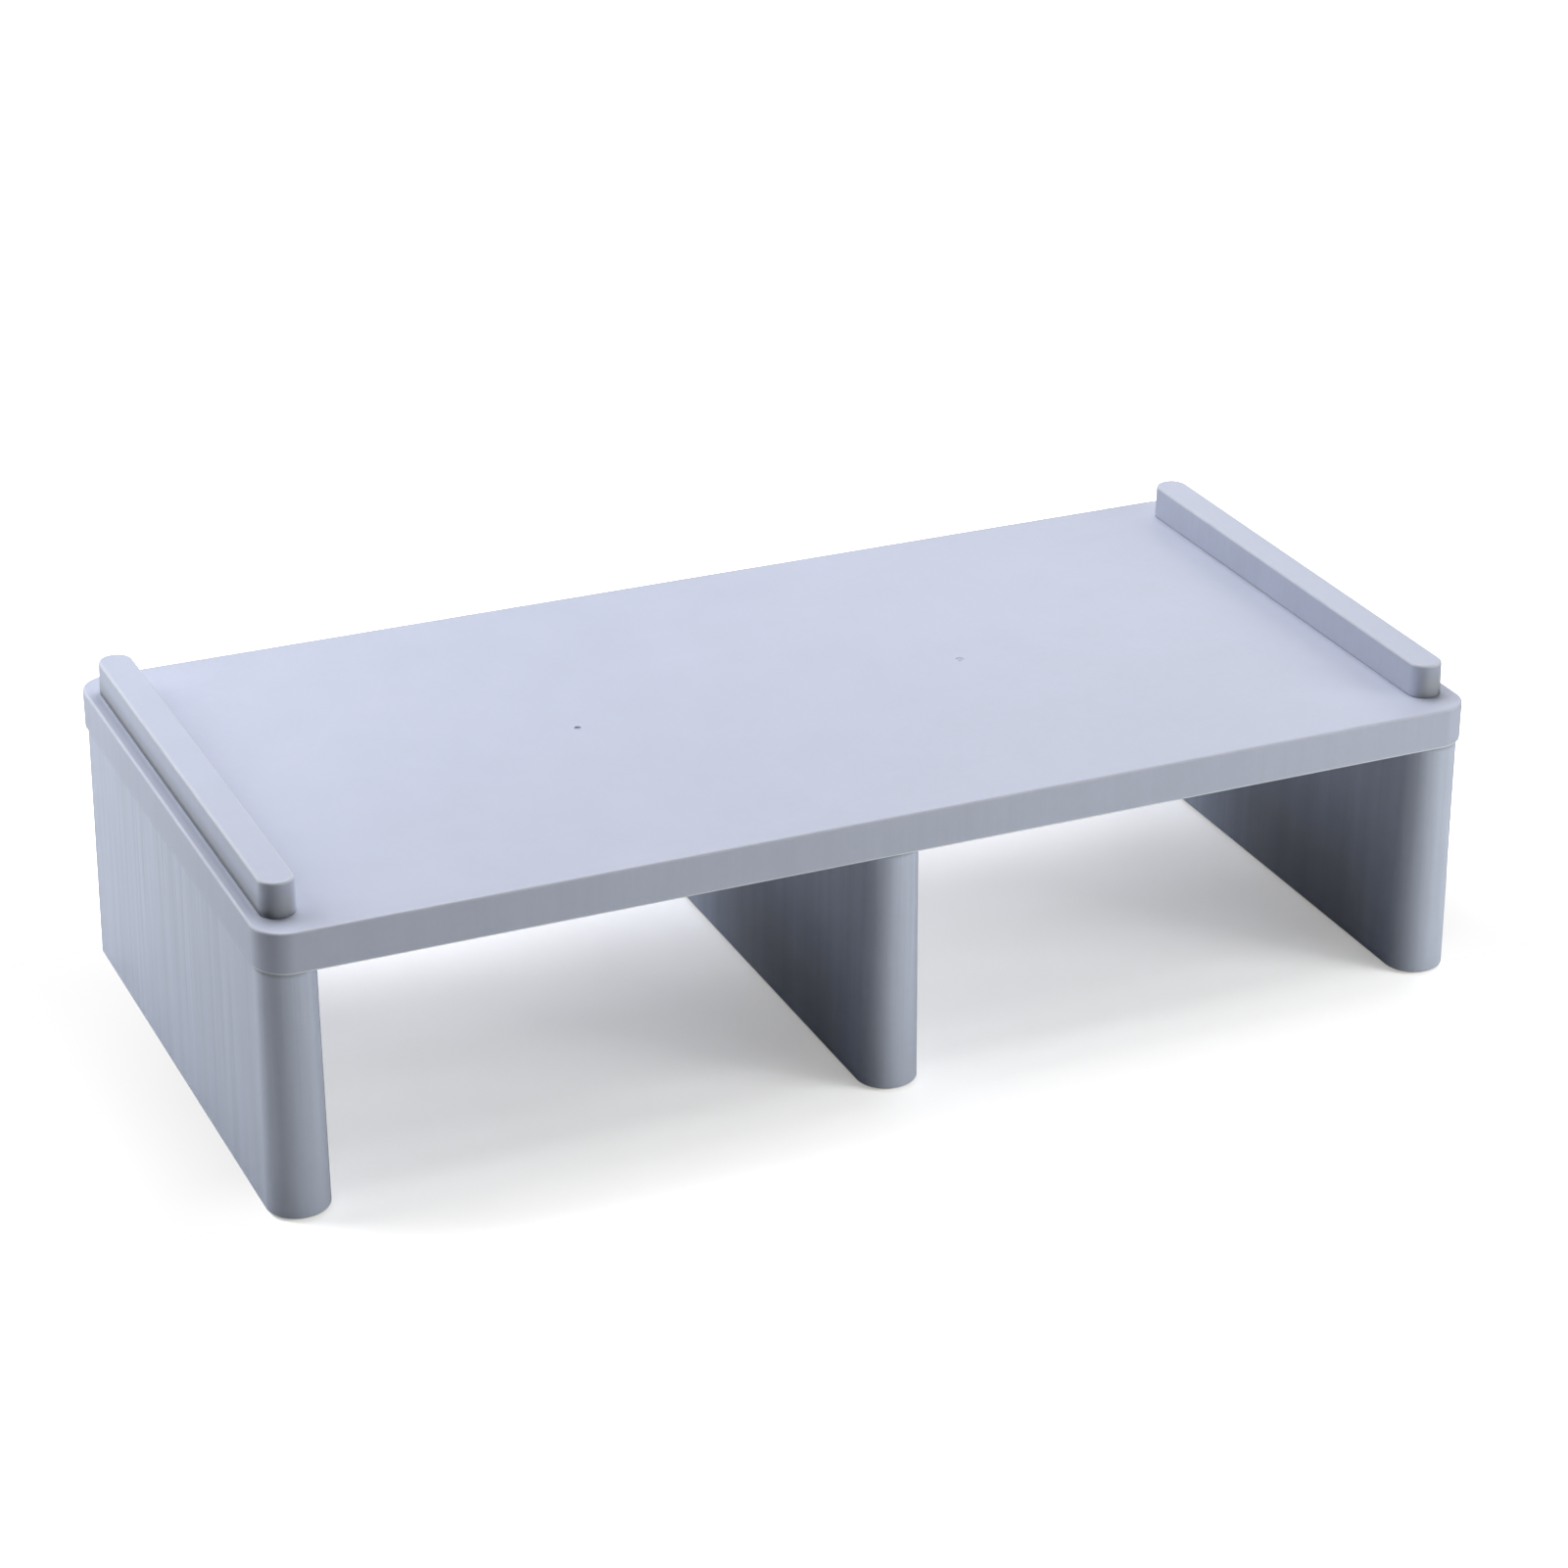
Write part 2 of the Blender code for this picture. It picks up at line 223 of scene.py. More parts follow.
def dress(obj, material, body, node, sharp=38):
    """Cleans and shades a finished piece, and ties it to the frame."""
    bm = bmesh.new()
    bm.from_mesh(obj.data)
    bmesh.ops.remove_doubles(bm, verts=bm.verts, dist=2e-7)
    bmesh.ops.dissolve_degenerate(bm, edges=bm.edges, dist=1e-7)
    loose = [e for e in bm.edges if not e.link_faces]
    if loose:
        bmesh.ops.delete(bm, geom=loose, context="EDGES")
    open_edges = sum(1 for e in bm.edges if len(e.link_faces) != 2)
    print(f"{obj.name}: {len(bm.faces)} faces, {open_edges} open edges")
    bm.to_mesh(obj.data)
    bm.free()
    obj.data.materials.clear()
    obj.data.materials.append(material)
    obj.data.shade_smooth()
    obj.data.set_sharp_from_angle(angle=math.radians(sharp))
    weighted = obj.modifiers.new("weighted_normal", "WEIGHTED_NORMAL")
    weighted.mode = "FACE_AREA"
    weighted.weight = 60
    weighted.keep_sharp = True
    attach(obj, body)
    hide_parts(node)
    return obj


CUT, ADD = "DIFFERENCE", "UNION"


# ---- materials ------------------------------------------------------------------
class Tree:
    """Short calls for building a node tree."""

    def __init__(self, tree):
        self.tree = tree
        tree.nodes.clear()

    def put(self, kind, _links=None, **settings):
        made = self.tree.nodes.new(kind)
        for key, value in settings.items():
            if hasattr(made, key):
                setattr(made, key, value)
            else:
                made.inputs[key.replace("_", " ")].default_value = value
        for key, socket in (_links or {}).items():
            self.tree.links.new(socket, made.inputs[key])
        return made

    def value(self, operation, a, b=0.0, clamp=False):
        made = self.tree.nodes.new("ShaderNodeMath")
        made.operation, made.use_clamp = operation, clamp
        for i, item in enumerate((a, b)):
            if isinstance(item, (int, float)):
                made.inputs[i].default_value = item
            else:
                self.tree.links.new(item, made.inputs[i])
        return made.outputs[0]

    def noise(self, vector, scale, detail=2.0, rough=0.5, stretch=None, shift=0.0):
        """Noise centred on zero, about -1 to 1."""
        if stretch is not None or shift:
            moved = self.put(
                "ShaderNodeMapping",
                {"Vector": vector},
                Location=(shift, shift * 0.7, -shift * 1.3),
                Scale=stretch or (1, 1, 1),
            )
            vector = moved.outputs[0]
        made = self.put(
            "ShaderNodeTexNoise",
            {"Vector": vector},
            Scale=scale,
            Detail=detail,
            Roughness=rough,
        )
        return self.value("MULTIPLY", self.value("SUBTRACT", made.outputs[0], 0.5), 4.0)

    def ramp(self, socket, low, high, to_low=0.0, to_high=1.0, smooth=True):
        made = self.tree.nodes.new("ShaderNodeMapRange")
        made.interpolation_type = "SMOOTHSTEP" if smooth else "LINEAR"
        made.clamp = True
        self.tree.links.new(socket, made.inputs[0])
        for i, number in enumerate((low, high, to_low, to_high)):
            made.inputs[i + 1].default_value = number
        return made.outputs[0]

    def total(self, *terms):
        """Sum of (socket, weight) pairs and plain numbers."""
        out = None
        for term in terms:
            if isinstance(term, tuple):
                term = self.value("MULTIPLY", term[0], term[1])
            out = term if out is None else self.value("ADD", out, term)
        return out


def new_material(name):
    material = bpy.data.materials.new(name)
    material.use_nodes = True
    return material, Tree(material.node_tree)


def moulded_plastic(
    name, colour, rough, edge_wear_and_highlight, streak=0.0, seed=0.0, lip_top=-1.0, marks=None
):
    """Satin pigmented plastic: spark-eroded grain, cloudy pigment, upright drag
    marks from the tool on side walls, and rounded top edges a little polished and
    paler, partly as wear and partly as a painted highlight. The skirt's lower lip
    gets a painted highlight, ambient occlusion paints shade into seams and inner
    corners, and `marks` adds the painted shade that belongs to one piece."""
    material, t = new_material(name)
    coords = t.put("ShaderNodeTexCoord").outputs["Object"]
    geometry = t.put("ShaderNodeNewGeometry")

    tone = t.noise(coords, 8.0, 3.0, 0.55, shift=seed + 0.37)
    cloud = t.noise(coords, 46.0, 5.0, 0.6, shift=seed + 1.9)
    mottle = t.noise(coords, 300.0, 3.0, 0.55, shift=seed)
    grain = t.noise(coords, 2300.0, 2.0, 0.65, shift=seed)
    drag = t.noise(coords, 430.0, 3.0, 0.6, stretch=(1, 1, 0.018), shift=seed + 0.11)
    drag_wide = t.noise(
        coords, 105.0, 2.0, 0.5, stretch=(1, 1, 0.05), shift=seed + 0.53
    )

    # drag marks only show on upright walls, and come and go in patches
    facing = t.put("ShaderNodeSeparateXYZ", {0: geometry.outputs["Normal"]}).outputs
    place = t.put("ShaderNodeSeparateXYZ", {0: coords}).outputs
    side = t.ramp(t.value("ABSOLUTE", facing["Z"]), 0.5, 0.15)
    comes = t.ramp(t.noise(coords, 26.0, 2.0, 0.5, shift=seed + 4.4), -0.8, 0.8, 0.4)
    comes = t.value("MULTIPLY", comes, t.ramp(place["Z"], 0.015, 0.085, 0.55, 1.25))
    comes = t.value("MULTIPLY", comes, t.ramp(place["Y"], -0.10, 0.06, 0.60, 1.25))
    drag = t.value("MULTIPLY", drag, t.value("MULTIPLY", side, comes))
    drag_wide = t.value("MULTIPLY", drag_wide, side)

    # rounded edges are the only places that lean between upright and level
    lean = facing["Z"]
    crown = t.value(
        "MULTIPLY", t.ramp(lean, 0.05, 0.30), t.ramp(lean, 0.985, 0.92)
    )
    under = t.value("MULTIPLY", lean, -1.0)
    lip = t.value(
        "MULTIPLY",
        t.value("MULTIPLY", t.ramp(under, -0.02, 0.10), t.ramp(under, 0.98, 0.90)),
        t.ramp(place["Z"], lip_top + 0.0001, lip_top - 0.0001),
    )
    # painted highlight: the rounded top edges turn paler, partly as wear, and the skirt's lower
    # lip turns pale
    patches = t.ramp(t.noise(coords, 90.0, 4.0, 0.65, shift=seed + 2.3), -0.9, 0.9, 0.6)
    edge = t.value("MULTIPLY", t.value("MULTIPLY", crown, edge_wear_and_highlight[0]), patches)
    rim = t.value("MULTIPLY", t.value("MULTIPLY", lip, edge_wear_and_highlight[1]), patches)

    # painted shade: ambient occlusion darkens and greys seams and inner corners, and the piece's
    # own painted shade multiplies in
    hollow = t.put("ShaderNodeAmbientOcclusion", samples=6, Distance=0.0022)
    painted_shade = t.ramp(hollow.outputs["AO"], 0.05, 0.50, 0.60, 1.0)
    if marks is not None:
        painted_shade = t.value("MULTIPLY", painted_shade, marks(t, place, facing))
    dull = t.value("MAXIMUM", t.total((painted_shade, 3.0), -1.34), 0.55)
    dull = t.value("MINIMUM", dull, 1.0)

    level = t.total(
        1.0,
        (tone, 0.018),
        (cloud, 0.016),
        (mottle, 0.011),
        (grain, 0.003),
        (drag, 0.110 * streak),
        (drag_wide, 0.060 * streak),
    )
    level = t.value("MULTIPLY", level, painted_shade)
    hue = t.total(0.5, (cloud, 0.0015), (tone, 0.002), (drag_wide, 0.002 * streak))
    pigment = t.put(
        "ShaderNodeHueSaturation",
        {"Value": level, "Hue": hue, "Saturation": dull},
        Color=(*colour, 1.0),
    )
    # paler rounded top edges: partly wear, partly a painted highlight
    worn_and_highlit = t.put(
        "ShaderNodeMix",
        {0: edge, 6: pigment.outputs[0]},
        data_type="RGBA",
    )
    worn_and_highlit.inputs[7].default_value = (*(c + (0.90 - c) * 0.45 for c in colour), 1.0)
    # painted highlight along the skirt's lower lip, mixed towards a pale colour
    lip_highlighted = t.put(
        "ShaderNodeMix",
        {0: rim, 6: worn_and_highlit.outputs[2]},
        data_type="RGBA",
    )
    lip_highlighted.inputs[7].default_value = (*LIP_HIGHLIGHT_COLOUR, 1.0)

    gloss = t.total(
        rough,
        (cloud, 0.025),
        (mottle, 0.015),
        (grain, 0.020),
        (drag, 0.030 * streak),
        (edge, -0.07),
    )

    fine = t.put(
        "ShaderNodeBump",
        {"Height": t.total((grain, 0.6), (mottle, 0.4))},
        Strength=1.0,
        Distance=0.000010,
    )
    lines = t.put(
        "ShaderNodeBump",
        {
            "Height": t.total((drag, streak), (cloud, 0.5)),
            "Normal": fine.outputs[0],
        },
        Strength=1.0,
        Distance=0.000012,
    )
    shader = t.put(
        "ShaderNodeBsdfPrincipled",
        {
            "Base Color": lip_highlighted.outputs[2],
            "Roughness": gloss,
            "Normal": lines.outputs[0],
        },
        IOR=1.49,
    )
    t.put("ShaderNodeOutputMaterial", {"Surface": shader.outputs[0]})
    return material


def less(t, amount, *masks):
    """A factor that is 1 outside the masks and 1 - amount inside all of them."""
    out = masks[0]
    for mask in masks[1:]:
        out = t.value("MULTIPLY", out, mask)
    return t.value("SUBTRACT", 1.0, t.value("MULTIPLY", out, amount))


def outward(t, place, facing):
    """How far a wall faces away from the middle of the riser, along X."""
    return t.value("MULTIPLY", t.value("SIGN", place["X"]), facing["X"])


def board_painted_shading(t, place, facing):
    """Painted shade on the two narrow ledges outside the rails, on the deck beside
    the right rail and in the gate marks, with painted light along the outer foot
    of each rail."""
    # painted shade on the ledge outside each rail
    across = t.value("ABSOLUTE", place["X"])
    beyond = t.ramp(across, LEDGE_X + 0.0002, LEDGE_X + 0.0016)
    beside = t.ramp(t.value("ABSOLUTE", place["Y"]), LEDGE_Y + 0.002, LEDGE_Y - 0.016)
    level = t.ramp(facing["Z"], 0.80, 0.98)
    deck_shading = less(t, LEDGE_SHADE, beyond, beside, level)
    # painted light: the corner along the foot of the rail is lightened against the painted shade
    # there
    foot = t.value(
        "MULTIPLY",
        t.ramp(across, LEDGE_X + 0.0019, LEDGE_X + 0.0005),
        t.ramp(across, LEDGE_X - 0.0010, LEDGE_X),
    )
    deck_shading = t.value("MULTIPLY", deck_shading, less(t, -RAIL_FOOT_LIGHT, foot, beside, level))
    # and a faint band of painted shade on the deck, along the inside of the right rail
    inside = t.ramp(place["X"], RAIL_IN_X - 0.020, RAIL_IN_X - 0.003)
    deck_shading = t.value("MULTIPLY", deck_shading, less(t, INSIDE_RAIL_SHADE, inside, beside, level))
    out = deck_shading
    # painted shade inside the two gate-mark pits
    for x in (-DIMPLE_X, DIMPLE_X):
        away = t.value(
            "ADD",
            t.value("POWER", t.value("SUBTRACT", place["X"], x), 2.0),
            t.value("POWER", t.value("SUBTRACT", place["Y"], DIMPLE_Y), 2.0),
        )
        pit = t.ramp(away, (DIMPLE_R * 1.15) ** 2, (DIMPLE_R * 0.9) ** 2)
        sunk = t.ramp(place["Z"], DECK_TOP - 0.00003, DECK_TOP - 0.0003)
        out = t.value("MULTIPLY", out, less(t, 0.22 if x < 0 else 0.04, pit, sunk))
    return out


def rail_painted_shade(t, place, facing):
    """Painted shade low on the outer walls, darker towards the deck, a painted dark line at
    their foot, and painted shade low on the ends.
    """
    low = t.ramp(place["Z"], DECK_TOP + 0.0095, DECK_TOP)
    outside = t.ramp(outward(t, place, facing), 0.3, 0.8)
    outer = less(t, RAIL_WALL_SHADE, low, outside)
    line = t.ramp(place["Z"], DECK_TOP + 0.0036, DECK_TOP + 0.0010)
    outer = t.value("MULTIPLY", outer, less(t, RAIL_FOOT_LINE_SHADE, line, outside))
    # painted shade on the ends, darker towards the deck
    down = t.ramp(place["Z"], DECK_TOP + 0.0190, DECK_TOP, smooth=False)
    blunt = t.ramp(t.value("ABSOLUTE", facing["Y"]), 0.45, 0.95)
    return t.value("MULTIPLY", outer, less(t, RAIL_END_SHADE, down, blunt))


def place_vector(t, place):
    return t.put(
        "ShaderNodeCombineXYZ", {"X": place["X"], "Y": place["Y"], "Z": place["Z"]}
    ).outputs[0]


def leg_painted_shade(t, place, facing):
    """Painted shade along the seam under the skirt, and painted shade low on the inner walls,
    broken up by noise.
    """
    seam = less(
        t,
        SEAM_SHADE,
        t.ramp(place["Z"], SHOULDER_Z - 0.0022, SHOULDER_Z - 0.0005),
        t.ramp(place["Z"], SHOULDER_Z + 0.0006, SHOULDER_Z + 0.0002),
    )
    central = t.value(
        "MULTIPLY",
        t.ramp(t.value("ABSOLUTE", place["X"]), 0.09, 0.05),
        t.ramp(t.value("ABSOLUTE", facing["X"]), 0.75, 0.98),
    )
    inner = t.value(
        "MAXIMUM", central, t.ramp(outward(t, place, facing), -0.75, -0.98)
    )
    shade_noise = t.noise(place_vector(t, place), 30.0, 3.0, 0.6, shift=5.2)
    height = t.value("ADD", place["Z"], t.value("MULTIPLY", shade_noise, 0.004))
    along = t.value(
        "MULTIPLY",
        t.ramp(place["Y"], 0.060, -0.030),
        t.ramp(place["Y"], -0.115, -0.070, 0.30, 1.0),
    )
    return t.value(
        "MULTIPLY", seam, less(t, LOW_WALL_SHADE, t.ramp(height, 0.080, 0.010), inner, along)
    )


def moulded_rubber(name, colour):
    """Dark non-slip rubber with a pebbled skin and pale dust in its hollows."""
    material, t = new_material(name)
    coords = t.put("ShaderNodeTexCoord").outputs["Object"]
    pebble = t.put(
        "ShaderNodeTexVoronoi", {"Vector": coords}, feature="F1", Scale=1700.0
    ).outputs["Distance"]
    fine = t.noise(coords, 5200.0, 2.0, 0.6)
    cloud = t.noise(coords, 240.0, 4.0, 0.6)
    dust = t.ramp(t.total((pebble, 1.0), (cloud, 0.18)), 0.35, 0.95)
    mixed = t.put(
        "ShaderNodeMix",
        {0: t.value("MULTIPLY", dust, 0.35)},
        data_type="RGBA",
    )
    mixed.inputs[6].default_value = (*colour, 1.0)
    mixed.inputs[7].default_value = (0.16, 0.16, 0.17, 1.0)
    bump = t.put(
        "ShaderNodeBump",
        {"Height": t.total((pebble, -1.0), (fine, 0.2))},
        Strength=1.0,
        Distance=0.00006,
    )
    shader = t.put(
        "ShaderNodeBsdfPrincipled",
        {
            "Base Color": mixed.outputs[2],
            "Roughness": t.total(0.80, (cloud, 0.05), (fine, 0.04)),
            "Normal": bump.outputs[0],
        },
        IOR=1.5,
    )
    t.put("ShaderNodeOutputMaterial", {"Surface": shader.outputs[0]})
    return material


def floor_material():
    """A pale sweep. It fades to plain white away from the object, and throws only
    a little light back up, so the undersides keep their depth."""
    material, t = new_material("studio_floor")
    coords = t.put("ShaderNodeTexCoord").outputs["Object"]
    far = t.put("ShaderNodeVectorMath", {0: coords}, operation="LENGTH")
    fade = t.ramp(far.outputs["Value"], FLOOR_FADE[0], FLOOR_FADE[1])
    paper = t.noise(coords, 700.0, 3.0, 0.6)
    # light from the front reaches a little way in under the board, and no further
    place = t.put("ShaderNodeSeparateXYZ", {0: coords}).outputs
    width = t.ramp(t.value("ABSOLUTE", place["X"]), HALF_X + 0.050, HALF_X - 0.010)
    ahead = t.value(
        "MULTIPLY",
        t.ramp(place["Y"], -0.096, -0.122),
        t.ramp(place["Y"], -0.157, -0.131),
    )
    below = t.value(
        "MULTIPLY",
        t.ramp(place["Y"], -0.094, -0.066),
        t.ramp(place["Y"], 0.010, -0.030),
    )
    glow = t.total((ahead, FLOOR_AHEAD), (below, -FLOOR_BELOW))
    glow = t.total(1.0, (t.value("MULTIPLY", glow, width), 1.0))
    shade = t.put(
        "ShaderNodeHueSaturation",
        {"Value": t.value("MULTIPLY", t.total(1.0, (paper, 0.004)), glow)},
        Color=(*FLOOR_SEEN, 1.0),
    )
    lit = t.put("ShaderNodeBsdfDiffuse", {"Color": shade.outputs[0]})
    lift = t.put("ShaderNodeEmission", {"Strength": glow}, Color=(*FLOOR_LIFT, 1))
    seen = t.put("ShaderNodeAddShader", {0: lit.outputs[0], 1: lift.outputs[0]})
    white = t.put("ShaderNodeEmission", Color=(1, 1, 1, 1), Strength=1.02)
    near = t.put(
        "ShaderNodeMixShader", {0: fade, 1: seen.outputs[0], 2: white.outputs[0]}
    )
    # a faint shade lies on the sweep along the foot of the two outer walls
    off = t.value("ABSOLUTE", place["X"])
    length = t.value(
        "MULTIPLY",
        t.ramp(place["Y"], -0.118, -0.075),
        t.value(
            "MULTIPLY",
            t.ramp(place["Y"], HALF_Y, -0.040, 0.15, 1.0),
            t.ramp(place["Y"], HALF_Y - 0.006, HALF_Y - 0.045),
        ),
    )
    near_wall = t.value(
        "MULTIPLY", t.ramp(off, HALF_X + 0.036, HALF_X, smooth=False), length
    )
    strip = t.value(
        "MULTIPLY",
        t.ramp(off, HALF_X + 0.060, HALF_X + 0.040),
        t.value(
            "MULTIPLY",
            t.ramp(off, HALF_X - 0.002, HALF_X),
            t.ramp(t.value("ABSOLUTE", place["Y"]), HALF_Y, HALF_Y - 0.006),
        ),
    )
    # the walls only meet the sweep while no leg is pulled down
    drop = t.put("ShaderNodeSeparateXYZ", {0: t.put("ShaderNodeObjectInfo").outputs["Location"]})
    strip = t.value("MULTIPLY", strip, t.ramp(drop.outputs["Z"], -0.004, -0.001))
    shady = t.put(
        "ShaderNodeEmission",
        {"Strength": t.total(1.0, (near_wall, -WALL_SHADE))},
        Color=(1, 1, 1, 1),
    )
    near = t.put(
        "ShaderNodeMixShader", {0: strip, 1: near.outputs[0], 2: shady.outputs[0]}
    )
    bounce = t.put("ShaderNodeBsdfDiffuse", Color=(*FLOOR_BOUNCE, 1.0))
    path = t.put("ShaderNodeLightPath")
    both = t.put(
        "ShaderNodeMixShader",
        {0: path.outputs["Is Camera Ray"], 1: bounce.outputs[0], 2: near.outputs[0]},
    )
    t.put("ShaderNodeOutputMaterial", {"Surface": both.outputs[0]})
    return material


# ---- the board ------------------------------------------------------------------
def leg_layout():
    """Name, middle of the body, and tongue X limits of each leg, from the frame."""
    out = []
    for side in ("left", "centre", "right"):
        lo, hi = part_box(side + "_leg")
        mid = (lo.x + hi.x) / 2
        if side == "centre":
            t0 = mid - LEG_T / 2 + TONGUE_STEP
            t1 = mid + LEG_T / 2 - TONGUE_STEP
        else:
            sign = 1 if side == "right" else -1
            ends = (
                sign * (HALF_X - SKIRT_T - TONGUE_FIT),
                mid - sign * (LEG_T / 2 - TONGUE_STEP),
            )
            t0, t1 = sorted(ends)
        out.append((side, mid, t0, t1))
    return out


def tongue_radius(t0, t1):
    return (t1 - t0) / 2 - 0.00012


def flared(ring_at, top, steps=3):
    """A cutter open downwards from the skirt's lower edge, its rim rounded."""
    levels = [(ring_at(-RIM_R), SKIRT_BOTTOM - 0.004)]
    for inset, rise in reversed(arc(RIM_R, steps, False)):
        levels.append((ring_at(inset - RIM_R), SKIRT_BOTTOM + RIM_R - rise))
    levels.append((ring_at(0.0), top))
    return levels


def board(material):
    def level(inset, z):
        ring = plan_ring(
            -HALF_X + inset,
            HALF_X - inset,
            -HALF_Y + inset,
            HALF_Y - inset,
            CORNER_R - inset,
        )
        return ring, z

    levels = [level(i, SKIRT_BOTTOM + r) for i, r in arc(LIP_R, 5, True)]
    levels += [level(i, DECK_TOP - EDGE_R + r) for i, r in arc(EDGE_R, 7, False)]
    obj = solid("board_moulding", [levels])

    layout = leg_layout()
    sockets = []
    for _, _, t0, t1 in layout:

        def ring_at(inset, t0=t0, t1=t1):
            return plan_ring(
                t0 - TONGUE_FIT + inset,
                t1 + TONGUE_FIT - inset,
                -INNER_Y + inset,
                INNER_Y - inset,
                tongue_radius(t0, t1) + TONGUE_FIT - inset,
                14,
            )

        sockets.append(flared(ring_at, DECK_UNDER))

    bay0 = layout[2][2] - TONGUE_FIT - COLLAR_T
    bay1 = layout[1][3] + TONGUE_FIT + COLLAR_T
    draft = math.tan(math.radians(0.5))
    bays, cells, pins = [], [], []
    for side in (1, -1):
        x0, x1 = sorted((side * bay0, side * bay1))

        def ring_at(inset, x0=x0, x1=x1):
            return plan_ring(
                x0 + inset, x1 - inset, -INNER_Y + inset, INNER_Y - inset, 0.003, HIDDEN
            )

        bays.append(flared(ring_at, RIB_BOTTOM))
        edge = 0.0006
        x0, x1, y0, y1 = x0 + edge, x1 - edge, -INNER_Y + edge, INNER_Y - edge
        wide = (x1 - x0 - (RIB_CELLS_X - 1) * RIB_T) / RIB_CELLS_X
        deep = (y1 - y0 - (RIB_CELLS_Y - 1) * RIB_T) / RIB_CELLS_Y
        for i in range(RIB_CELLS_X):
            for j in range(RIB_CELLS_Y):
                cx = x0 + i * (wide + RIB_T)
                cy = y0 + j * (deep + RIB_T)

                def cell(inset, z, cx=cx, cy=cy):
                    inset += draft * (z - RIB_BOTTOM)
                    ring = plan_ring(
                        cx + inset,
                        cx + wide - inset,
                        cy + inset,
                        cy + deep - inset,
                        0.0014 - inset * 0.5,
                        4,
                    )
                    return ring, z

                body = [cell(0.0, RIB_BOTTOM - 0.0005)]
                body += [
                    cell(a, DECK_UNDER - 0.0006 + r) for a, r in arc(0.0006, 3, False)
                ]
                cells.append(body)
                if (i + j) % 2 == 0 and not (i == 2 and j == 2):
                    ring = round_ring(cx + wide / 2, cy + deep / 2, 0.003)
                    pins.append([(ring, DECK_UNDER - 0.001), (ring, DECK_UNDER + 0.00015)])

    holes = []
    for name in ("left_rail", "right_rail"):
        lo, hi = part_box(name)
        for y in PEG_Y:
            ring = round_ring((lo.x + hi.x) / 2, y, PEG_HOLE_R)
            holes.append([(ring, DECK_UNDER - 0.002), (ring, DECK_TOP + 0.002)])

    # gate marks on the deck: a round pit, and a shallow ring round a trimmed stub
    marks = []
    for x, depth, radius in (
        (-DIMPLE_X, DIMPLE_D, DIMPLE_R),
        (DIMPLE_X, DIMPLE_D * 0.45, DIMPLE_R * 1.15),
    ):
        body = []
        for inset, rise in arc(depth * 0.6, 4, True):
            body.append((round_ring(x, DIMPLE_Y, radius - inset), DECK_TOP - depth + rise))
        body.append((round_ring(x, DIMPLE_Y, radius * 1.01), DECK_TOP + 0.0005))
        marks.append(body)
    stub = [
        (round_ring(DIMPLE_X, DIMPLE_Y, DIMPLE_R * 0.52), DECK_TOP - DIMPLE_D * 0.6),
        (round_ring(DIMPLE_X, DIMPLE_Y, DIMPLE_R * 0.48), DECK_TOP - 0.00012),
        (round_ring(DIMPLE_X, DIMPLE_Y, DIMPLE_R * 0.36), DECK_TOP - 0.00002),
    ]

    carve(
        obj,
        (sockets, CUT),
        (bays, CUT),
        (cells, CUT),
        (pins, CUT),
        (holes, CUT),
        (marks, CUT),
        ([stub], ADD),
    )
    return dress(obj, material, "board_unit", "top_board")


# ---- the rails ------------------------------------------------------------------
def rail(node, material):
    lo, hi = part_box(node)
    cx, hx, hy = (lo.x + hi.x) / 2, (hi.x - lo.x) / 2, (hi.y - lo.y) / 2
    base, top = DECK_TOP + RAIL_SEAT, hi.z
    slope = math.tan(RAIL_DRAFT)

    def level(inset, z, steps=FINE):
        inset = inset + slope * (z - base)
        ring = plan_ring(
            cx - hx + inset,
            cx + hx - inset,
            -hy + inset,
            hy - inset,
            hx - 0.00005 - inset,
            steps,
        )
        return ring, z

    levels = [level(i, base + r) for i, r in arc(RAIL_BASE_R, 4, True)]
    levels += [level(i, top - RAIL_EDGE_R + r) for i, r in arc(RAIL_EDGE_R, 7, False)]
    obj = solid(node + "_moulding", [levels])

    hollow = [level(RAIL_WALL, base - 0.001, 10)]
    hollow += [
        level(RAIL_WALL + i, top - RAIL_WALL - 0.0008 + r, 10)
        for i, r in arc(0.0008, 3, False)
    ]

    # pegs through the deck, with melted-over domed heads below it
    pegs = []
    head_top = DECK_UNDER - RAIL_GAP
    for y in PEG_Y:
        body = []
        for k in range(7):
            a = math.radians(90 * k / 6)
            radius = PEG_HEAD_R * (0.55 + 0.45 * math.sin(a))
            body.append(
                (
                    round_ring(cx, y, radius),
                    head_top - PEG_HEAD_H + PEG_HEAD_H * 0.8 * (1 - math.cos(a)),
                )
            )
        body.append((round_ring(cx, y, PEG_HEAD_R), head_top))
        body.append((round_ring(cx, y, PEG_R), head_top + 0.00002))
        body.append((round_ring(cx, y, PEG_R), top - RAIL_WALL + 0.001))
        pegs.append(body)
    carve(obj, ([hollow], CUT), (pegs, ADD))
    return dress(obj, material, "board_unit", node)


